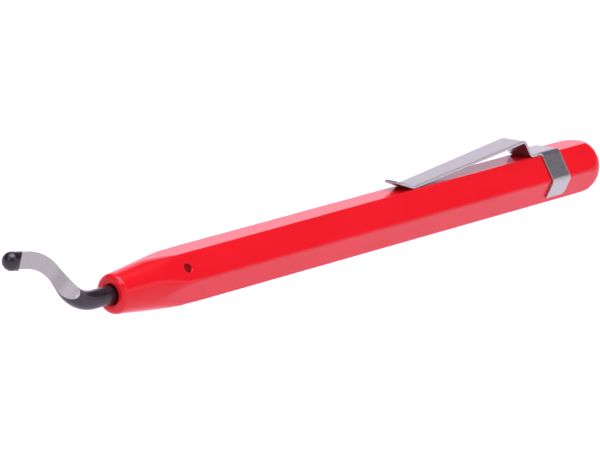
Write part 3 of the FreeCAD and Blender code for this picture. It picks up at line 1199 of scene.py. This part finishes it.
@dataclass
class Detent:
    """Ball, spring and pressed plug in the side hole, which hold the blade by its groove."""

    coil_radius: float = 0.5 * MM
    coil_wire: float = 0.09 * MM
    turns: float = 3.1
    # Shares of the even and of the eased rise of the helix.
    pitch_shares: tuple[float, float] = (0.55, 0.45)
    plug_edge: float = 0.05 * MM
    plug_dimple: float = 0.3 * MM
    dimple_depth: float = 0.3
    ball_cells: int = 32
    edge_cells: int = 5
    dish_cells: int = 6
    coil_cells: int = 180
    wire_cells: int = 16
    round_cells: int = 48
    ball_finish: BrushedSteel = BrushedSteel(
        "BearingSteel",
        (0.62, 0.62, 0.65),
        (0.56, 0.56, 0.6),
        line_stretch=(1.0, 1.0, 1.0),
        line_depth=0.05 * MICRON,
        gloss=(0.08, 0.16),
    )
    spring_finish: BrushedSteel = BrushedSteel(
        "SpringWire", (0.5, 0.5, 0.52), (0.4, 0.4, 0.43), line_stretch=(0.2, 0.2, 0.2)
    )
    # The plug's own red lacquer, darkened far below the handle's red: painted shade of the recess at the
    # bottom of the side hole.
    plug_painted_shade_finish: Lacquer = Lacquer(
        "PlugLacquerPaintedShade", (0.2, 0.002, 0.006), (0.15, 0.001, 0.004), gloss=(0.3, 0.45), index=1.2
    )

    def __post_init__(self) -> None:
        """Read the axis of the side hole and the places along it from the frame."""
        self.lift = joint("detent_lift")
        self.axis = Vector(self.lift["axis"]).normalized()
        ball_low, ball_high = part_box("detent_ball")
        self.ball_centre = (ball_low + ball_high) / 2
        self.ball_radius = (ball_high.x - ball_low.x) / 2
        plug_low, plug_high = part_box("detent_plug")
        self.plug_middle = (plug_low + plug_high) / 2
        self.plug_radius = (plug_high.x - plug_low.x) / 2
        self.plug_height = self.slanted(plug_high.y - plug_low.y, self.plug_radius)
        spring_low, spring_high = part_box("detent_spring")
        self.spring_middle = (spring_low + spring_high) / 2
        self.spring_length = self.slanted(spring_high.y - spring_low.y, self.coil_radius + self.coil_wire)

    def slanted(self, width: float, radius: float) -> float:
        """Length of a cylinder along the slanted hole, from its width in Y and its radius."""
        return (width - 2 * radius * abs(self.axis.z)) / abs(self.axis.y)

    def ball(self) -> Piece:
        """Bearing ball: the profile is r = R cos b at h = R sin b.

        Returns:
            The ball.
        """
        turn = np.linspace(-math.pi / 2, math.pi / 2, self.ball_cells + 1)
        profile = self.ball_radius * np.stack([np.sin(turn), np.cos(turn)], axis=-1)
        profile[[0, -1], 1] = 0.0
        skin = Surface()
        skin.add(turned_skin(profile, self.ball_centre, self.axis, self.round_cells))
        piece = add_piece("bearing_ball", skin, [self.ball_finish])
        return seat(piece, Body.DETENT, "detent_ball")

    def plug(self) -> Piece:
        """Pressed disc with an eased edge, and a staking dimple of depth d (1 - t^2).

        Returns:
            The plug.
        """
        half = self.plug_height / 2
        turn = quarter(self.edge_cells)
        edge_height = half - self.plug_edge * (1.0 - np.sin(turn))
        edge_radius = self.plug_radius - self.plug_edge * (1.0 - np.cos(turn))
        dish = np.linspace(1.0, 0.0, self.dish_cells + 1)
        dish_height = half - self.dimple_depth * self.plug_dimple * (1.0 - dish**2)
        height = np.concatenate([[-half, -half], edge_height, dish_height])
        radius = np.concatenate([[0.0, self.plug_radius], edge_radius, self.plug_dimple * dish])
        profile = np.stack([height, radius], axis=-1)
        skin = Surface()
        skin.add(turned_skin(profile, self.plug_middle, self.axis, self.round_cells))
        piece = add_piece("side_plug", skin, [self.plug_painted_shade_finish])
        return seat(piece, Body.HANDLE, "detent_plug")

    def spring(self) -> Piece:
        """Compression spring: a round wire along a helix whose end turns lie closer together.

        The centre line is R (u cos t + v sin t) + axis * h(t), and the wire is a circle in the
        plane of the radius and the binormal. The height h is a mix of s and 3s^2 - 2s^3, which is
        steeper in the middle.

        Returns:
            The spring, seated on the handle.
        """
        across = self.axis.orthogonal().normalized()
        second = np.array(self.axis.cross(across))
        share = shares(self.coil_cells)
        angle = 2.0 * math.pi * self.turns * share
        even, eased = self.pitch_shares
        rise = self.spring_length - 2 * self.coil_wire
        height = rise * (even * share + eased * share**2 * (3.0 - 2.0 * share) - 0.5)
        out = np.cos(angle)[:, None] * np.array(across) + np.sin(angle)[:, None] * second
        lift = height[:, None] * np.array(self.axis)
        centre = np.array(self.spring_middle) + self.coil_radius * out + lift
        tangent = np.gradient(centre, axis=0)
        tangent /= np.linalg.norm(tangent, axis=1, keepdims=True)
        binormal = np.cross(tangent, out)
        turn = circle_angles(self.wire_cells)[None, :, None]
        cap = np.concatenate([[0.0], np.full(len(share), self.coil_wire), [0.0]])
        rows = np.concatenate([[0], np.arange(len(share)), [len(share) - 1]])
        ring = np.cos(turn) * out[rows][:, None] + np.sin(turn) * binormal[rows][:, None]
        skin = Surface()
        skin.add(centre[rows][:, None] + cap[:, None, None] * ring)
        piece = add_piece("coil_spring", skin, [self.spring_finish])
        seat(piece, Body.HANDLE, "detent_spring")
        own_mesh(piece)
        return piece

    def build(self) -> list[Piece]:
        """Build the ball, the plug and the spring."""
        return [self.ball(), self.plug(), self.spring()]


# ---- pocket clip


def stack_fields(*fields: Array) -> Array:
    """Points from arrays of x, y and z, which may be rows, columns or whole grids."""
    return np.stack(np.broadcast_arrays(*fields), axis=-1)


def corner_inset(ahead: Array, aside: Array, radius: float) -> Array:
    """Distance in from an outline with a rounded corner.

    It is the smaller of the distances to the two edges, and inside the corner's square it is
    r - sqrt((r - ahead)^2 + (r - aside)^2).

    Args:
        ahead: Distances from the end.
        aside: Distances from the side.
        radius: Radius of the corner.

    Returns:
        Distances in metres, negative outside.
    """
    corner = radius - np.hypot(radius - ahead, radius - aside)
    inside = (ahead < radius) & (aside < radius)
    return np.where(inside, corner, np.minimum(ahead, aside))


@dataclass
class SheetPatch:
    """Middle of a thin sheet: points, normals, distance in from the outline, place on the blank."""

    middle: Array
    normal: Array
    inset: Array
    blank: Array

    def face(self, side: int, half: Array) -> Array:
        """One face of the sheet, half a thickness off its middle."""
        return self.middle + side * self.normal * half[..., None]


@dataclass
class PocketClip:
    """Pocket clip stamped from one strip: a band round the handle and a springy arm."""

    band_width: float = 4.8 * MM
    band_round: float = 0.5 * MM
    tab_reach: float = 3.5 * MM
    tab_round: float = 0.8 * MM
    arm_width: float = 5.2 * MM
    tip_width: float = 4.0 * MM
    foot_run: float = 0.19 * MM
    foot_bend: float = 0.8 * MM
    foot_turn: float = 60.0
    riser_run: float = 2.427 * MM
    root_bend: float = 0.8 * MM
    root_turn: float = 65.68
    arm_run: float = 28.81 * MM
    contact_bend: float = 1.5 * MM
    contact_turn: float = 27.68
    lip_run: float = 3.6 * MM
    lip_round: float = 1.0 * MM
    fork_fillet: float = 0.5 * MM
    edge_ease: float = 0.07 * MM
    flex_length: float = 4.0 * MM
    wrap_fade: float = 0.6
    # Cells of the arm's fork, foot, foot bend, riser, root bend, run, contact bend and lip.
    arm_row_cells: tuple[int, ...] = (8, 6, 14, 8, 14, 40, 14, 10)
    lip_cells: int = 14
    ease_cells: int = 3
    arm_cells: int = 14
    band_cells: int = 10
    wrap_cells: int = 44
    tab_cells: int = 12
    finish: BrushedSteel = BrushedSteel(
        "ClipSteel",
        (0.475, 0.475, 0.445),
        (0.405, 0.405, 0.38),
        attribute="place",
        line=0.05 * MM,
        line_depth=0.35 * MICRON,
        gloss=(0.25, 0.38),
    )

    def __post_init__(self) -> None:
        """Read the strip's thickness and the clip's places from the frame."""
        handle_low, handle_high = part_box("handle_body")
        _, band_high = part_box("clip_band")
        arm_low, arm_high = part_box("clip_arm")
        self.apothem = (handle_high.z - handle_low.z) / 2
        self.axis_height = (handle_high.z + handle_low.z) / 2
        self.strip = band_high.z - handle_high.z
        self.root_x = arm_high.x
        self.tip_x = arm_low.x
        self.front_x = band_high.x - self.band_width
        self.middle_height = handle_high.z + self.strip / 2
        self.foot = self.front_x - self.root_x + self.foot_run
        self.arm_route = Route([
            Stretch(self.foot, self.foot_bend, self.foot_turn),
            Stretch(self.riser_run, self.root_bend, -self.root_turn),
            Stretch(self.arm_run, self.contact_bend, self.contact_turn),
            Stretch(self.lip_run),
        ])
        middle = self.apothem + self.strip / 2
        bend = self.band_round + self.strip / 2
        self.flat_half = (middle - bend) * math.tan(HALF_FLAT)
        past_corner = self.strip / 2 / math.cos(HALF_FLAT) * math.sin(HALF_FLAT)
        tab = self.tab_reach + past_corner - bend * math.tan(HALF_FLAT)
        self.band_route = Route([
            Stretch(self.flat_half, bend, -60.0),
            Stretch(2 * self.flat_half, bend, -60.0),
            Stretch(tab),
        ])
        self.band_half = self.band_route.length

    def round_handle(self, side: Array) -> tuple[Array, Array]:
        """Sheet's middle line round the handle.

        Args:
            side: Signed distances along it from the top's middle.

        Returns:
            Places (y, z), and outward unit vectors (x, y, z).
        """
        points, heading = self.band_route.at(np.abs(side))
        place = np.stack([np.sign(side) * points[..., 0], self.middle_height + points[..., 1]], axis=-1)
        lean = np.sign(side) * np.sin(heading)
        return place, stack_fields(np.zeros_like(side), -lean, np.cos(heading))

    def eased_edge(self) -> Array:
        """Distances in from an outline at which the rounding of a cut edge is sampled."""
        turn = quarter(self.ease_cells)
        return self.edge_ease * (1.0 - np.cos(turn))

    def columns(self, half: Array) -> Array:
        """Signed distances across the arm: close together at both edges, even in between.

        Args:
            half: Half the width of each row.

        Returns:
            Distances, rows x columns.
        """
        inner = np.linspace(-1.0, 1.0, self.arm_cells + 1)[1:-1]
        ease = self.eased_edge()
        left = -half[:, None] + ease
        middle = (half[:, None] - self.edge_ease) * inner
        return np.concatenate([left, middle, -left[:, ::-1]], axis=1)

    def arm_places(self) -> Array:
        """Distances of the arm's rows from the band, close together in the bends.

        Over the lip's rounding they follow r sin b, so that the rows crowd towards its end.

        Returns:
            Rising distances, from the band to the lip's end.
        """
        starts = self.arm_route.table[1:, 0]
        marks = [0.0, self.fork_fillet, *starts, self.arm_route.length - self.lip_round]
        rows = spread(list(zip(marks, marks[1:], self.arm_row_cells)))
        turn = quarter(self.lip_cells)[1:]
        return np.concatenate([rows, marks[-1] + self.lip_round * np.sin(turn)])

    def arm_sheet(self) -> SheetPatch:
        """Arm from the band to the lip: the route carried across, tapering evenly in plan.

        A fillet of quarter circles widens it where it leaves the band, and there the sheet bends
        from flat to the band's own wrap.

        Returns:
            The arm's middle surface, rows from the band to the lip, columns across.
        """
        place = self.arm_places()
        points, heading = self.arm_route.at(place)
        x = self.front_x - points[:, 0]
        share = np.clip((self.root_x - x) / (self.root_x - self.tip_x), 0.0, 1.0)
        taper = (self.arm_width + (self.tip_width - self.arm_width) * share) / 2
        fillet = self.fork_fillet
        half = taper - corner_cut(place, self.arm_route.length, self.lip_round)
        half += corner_cut(fillet - place, fillet, fillet)
        side = self.columns(half)
        place, x, taper, heading = (row[:, None] for row in (place, x, taper, heading))
        wrapped, wrap_normal = self.round_handle(side)
        hold = 1.0 - smooth_step(0.0, self.foot * self.wrap_fade, place)
        y = side + (wrapped[..., 0] - side) * hold
        z = self.middle_height + points[:, 1:] + (wrapped[..., 1] - self.middle_height) * hold
        middle = stack_fields(x, y, z)
        flat_normal = stack_fields(np.sin(heading), np.zeros_like(side), np.cos(heading))
        normal = flat_normal + (wrap_normal - flat_normal) * hold[..., None]
        normal /= np.linalg.norm(normal, axis=-1, keepdims=True)
        off = np.abs(side)
        fork = np.hypot(fillet - place, taper + fillet - off) - fillet
        lip = corner_inset(self.arm_route.length - place, taper - off, self.lip_round)
        inset = np.where(place < fillet, fork, lip)
        return SheetPatch(middle, normal, inset, stack_fields(-place, side, np.zeros_like(side)))

    def band_sheet(self) -> SheetPatch:
        """Band round the handle, with the arm's columns where the two join.

        Returns:
            The band's middle surface, rows from the front edge to the rear, columns round it.
        """
        join = self.arm_width / 2 + self.fork_fillet
        ease = self.eased_edge()
        inside = self.columns(np.array([join]))[0]
        outside = spread([
            (join, self.band_half - self.tab_round, self.wrap_cells),
            (self.band_half - self.tab_round, self.band_half - self.edge_ease, self.tab_cells),
        ])[1:]
        outside = np.concatenate([outside, self.band_half - ease[-2::-1]])
        side = np.concatenate([-outside[::-1], inside, outside])[None, :]
        off = np.abs(side)
        width = self.band_width - corner_cut(off, self.band_half, self.tab_round)
        inner = shares(self.band_cells)[1:-1, None]
        span = width - 2 * self.edge_ease
        back = np.concatenate([
            np.broadcast_to(ease[:, None], (len(ease), side.shape[1])),
            self.edge_ease + span * inner,
            width - ease[::-1, None],
        ])
        wrapped, normal = self.round_handle(np.broadcast_to(side, back.shape))
        middle = np.concatenate([(self.front_x + back)[..., None], wrapped], axis=-1)
        fork = np.hypot(self.fork_fillet + back, join - off) - self.fork_fillet
        front = np.where(off < join, fork, back)
        rear = corner_inset(self.band_width - back, self.band_half - off, self.tab_round)
        inset = np.minimum(front, rear)
        return SheetPatch(middle, normal, inset, stack_fields(back, side, np.zeros_like(back)))

    def build(self) -> list[Piece]:
        """Build both faces of the sheet and its cut edges as one closed surface.

        Returns:
            The clip, in place in the model's frame.
        """
        arm, band = self.arm_sheet(), self.band_sheet()
        free = (band.middle.shape[1] - arm.middle.shape[1]) // 2 + 1
        edges = [np.s_[:, 0], np.s_[:, -1], np.s_[-1]]
        skin = Surface()
        for patch, outlines in ((arm, edges), (band, [*edges, np.s_[0, :free], np.s_[0, -free:]])):
            faces = [patch.face(side, self.half_thickness(patch.inset)) for side in (1, -1)]
            for grid in faces:
                skin.add(grid, places=patch.blank)
            for line in outlines:
                rim = np.stack([grid[line] for grid in faces])
                skin.add(rim, places=np.stack([patch.blank[line]] * 2))
        piece = add_piece("pocket_clip", skin, [self.finish], crease=50.0)
        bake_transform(piece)
        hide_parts("clip_band", "clip_arm")
        return [piece]

    def half_thickness(self, inset: Array) -> Array:
        """Half the sheet's thickness at a distance in from its outline, with quarter-round edges."""
        past = np.clip(self.edge_ease - inset, 0.0, self.edge_ease)
        return self.strip / 2 - self.edge_ease + np.sqrt(self.edge_ease**2 - past**2)


# ---- studio


PALE_LIGHT: Colour = (0.9, 0.82, 1.0)
DIM_LIGHT: Colour = (0.09, 0.08, 0.1)


@dataclass(frozen=True)
class Softbox:
    """Rectangular soft light that faces the object."""

    name: str
    azimuth: float
    elevation: float
    distance: float
    size: float
    power: float
    colour: Colour = PALE_LIGHT


@dataclass
class Studio:
    """Pale floor, soft lights and the camera."""

    camera_azimuth: float = 47.28
    camera_elevation: float = 12.98
    camera_roll: float = -1.714
    camera_distance: float = 898.66 * MM
    lens: float = 316.86
    sensor: float = 36.0
    aim_forward: float = 15.56 * MM
    aim_up: float = 2.93 * MM
    floor_drop: float = 60.0 * MM
    floor_size: float = 12.0
    floor_cells: int = 8
    sky_strength: float = 1.25
    sky_stops: tuple[tuple[float, Colour], ...] = (
        (0.0, PALE_LIGHT),
        (0.27, PALE_LIGHT),
        (0.37, DIM_LIGHT),
        (0.8, DIM_LIGHT),
        (0.93, PALE_LIGHT),
    )
    softboxes: tuple[Softbox, ...] = (
        Softbox("overhead_softbox", 0.0, 80.0, 1.6, 1.5, 32.0),
        Softbox("front_softbox", -8.0, 32.0, 1.5, 0.7, 2.6),
        Softbox("rear_softbox", -135.0, 28.0, 1.5, 0.7, 1.6),
        Softbox("left_softbox", 85.0, 38.0, 1.5, 0.6, 4.0),
    )

    def direction(self, azimuth: float, elevation: float) -> Vector:
        """Unit vector from the object; azimuth 0 is -Y and 90 is -X."""
        a, e = math.radians(azimuth), math.radians(elevation)
        return Vector((-math.sin(a) * math.cos(e), -math.cos(a) * math.cos(e), math.sin(e)))

    def floor(self) -> Piece:
        """Flat sheet of paper below the object.

        Returns:
            The floor.
        """
        low, _ = CAD_BOUNDS
        side = np.linspace(-self.floor_size / 2, self.floor_size / 2, self.floor_cells + 1)
        x, y = np.meshgrid(side, side, indexing="ij")
        skin = Surface()
        skin.add(np.stack([x, y, np.full_like(x, low.z - self.floor_drop)], axis=-1))
        piece = add_piece("studio_floor", skin, [Paper("StudioPaper")], closed=False)
        return piece

    def sky(self) -> None:
        """Soft surroundings: pale at the horizon, darker higher up, pale again overhead."""
        world = bpy.data.worlds.new("studio_sky")
        bpy.context.scene.world = world
        world.use_nodes = True
        nodes, links = world.node_tree.nodes, world.node_tree.links
        nodes.clear()
        place = nodes.new("ShaderNodeTexCoord")
        split = nodes.new("ShaderNodeSeparateXYZ")
        ramp = nodes.new("ShaderNodeValToRGB")
        light = nodes.new("ShaderNodeBackground")
        output = nodes.new("ShaderNodeOutputWorld")
        elements = ramp.color_ramp.elements
        elements[0].position, elements[1].position = self.sky_stops[0][0], self.sky_stops[-1][0]
        for position, _ in self.sky_stops[1:-1]:
            elements.new(position)
        for element, (_, colour) in zip(elements, self.sky_stops):
            element.color = (*colour, 1.0)
        light.inputs["Strength"].default_value = self.sky_strength
        links.new(place.outputs["Generated"], split.inputs[0])
        links.new(split.outputs["Z"], ramp.inputs["Fac"])
        links.new(ramp.outputs["Color"], light.inputs["Color"])
        links.new(light.outputs[0], output.inputs["Surface"])

    def light(self, box: Softbox) -> None:
        """Area light that faces the object's middle.

        Args:
            box: The softbox.
        """
        data = bpy.data.lights.new(box.name, "AREA")
        data.shape = "SQUARE"
        data.size = box.size
        data.energy = box.power
        data.color = box.colour
        lamp = bpy.data.objects.new(box.name, data)
        back = self.direction(box.azimuth, box.elevation)
        lamp.location = back * box.distance
        lamp.rotation_euler = back.to_track_quat("Z", "Y").to_euler()
        bpy.context.scene.collection.objects.link(lamp)

    def camera(self) -> None:
        """Long lens from the blade's side, a little above, aimed ahead of the handle's middle."""
        low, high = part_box("handle_body")
        aim = (low + high) / 2 + Vector((-self.aim_forward, 0.0, self.aim_up))
        back = self.direction(self.camera_azimuth, self.camera_elevation)
        level = (-back).cross(Vector((0.0, 0.0, 1.0))).normalized()
        upright = back.cross(level)
        roll = math.radians(self.camera_roll)
        right = level * math.cos(roll) + upright * math.sin(roll)
        up = upright * math.cos(roll) - level * math.sin(roll)
        data = bpy.data.cameras.new("studio_camera")
        data.lens = self.lens
        data.sensor_width = self.sensor
        camera = bpy.data.objects.new("studio_camera", data)
        turn = Matrix((right, up, back)).transposed()
        camera.matrix_world = Matrix.Translation(aim + back * self.camera_distance) @ turn.to_4x4()
        bpy.context.scene.collection.objects.link(camera)
        bpy.context.scene.camera = camera

    def build(self) -> list[Piece]:
        """Set up the floor, the sky, the lights and the camera.

        Returns:
            The floor.
        """
        bpy.context.scene.view_settings.view_transform = "Standard"
        floor = self.floor()
        self.sky()
        for box in self.softboxes:
            self.light(box)
        self.camera()
        return [floor]


# ---- assembly


def main() -> None:
    """Build the studio and the tool's sub-assemblies in order, and report each piece."""
    logging.basicConfig(level=logging.INFO, format="%(name)s: %(message)s")
    for assembly in (Studio(), Handle(), SwivelBlade(), Detent(), PocketClip()):
        for piece in assembly.build():
            log.info("%s: %s, %d faces", type(assembly).__name__, piece.name, len(piece.data.polygons))


if __name__ == "__main__":
    main()
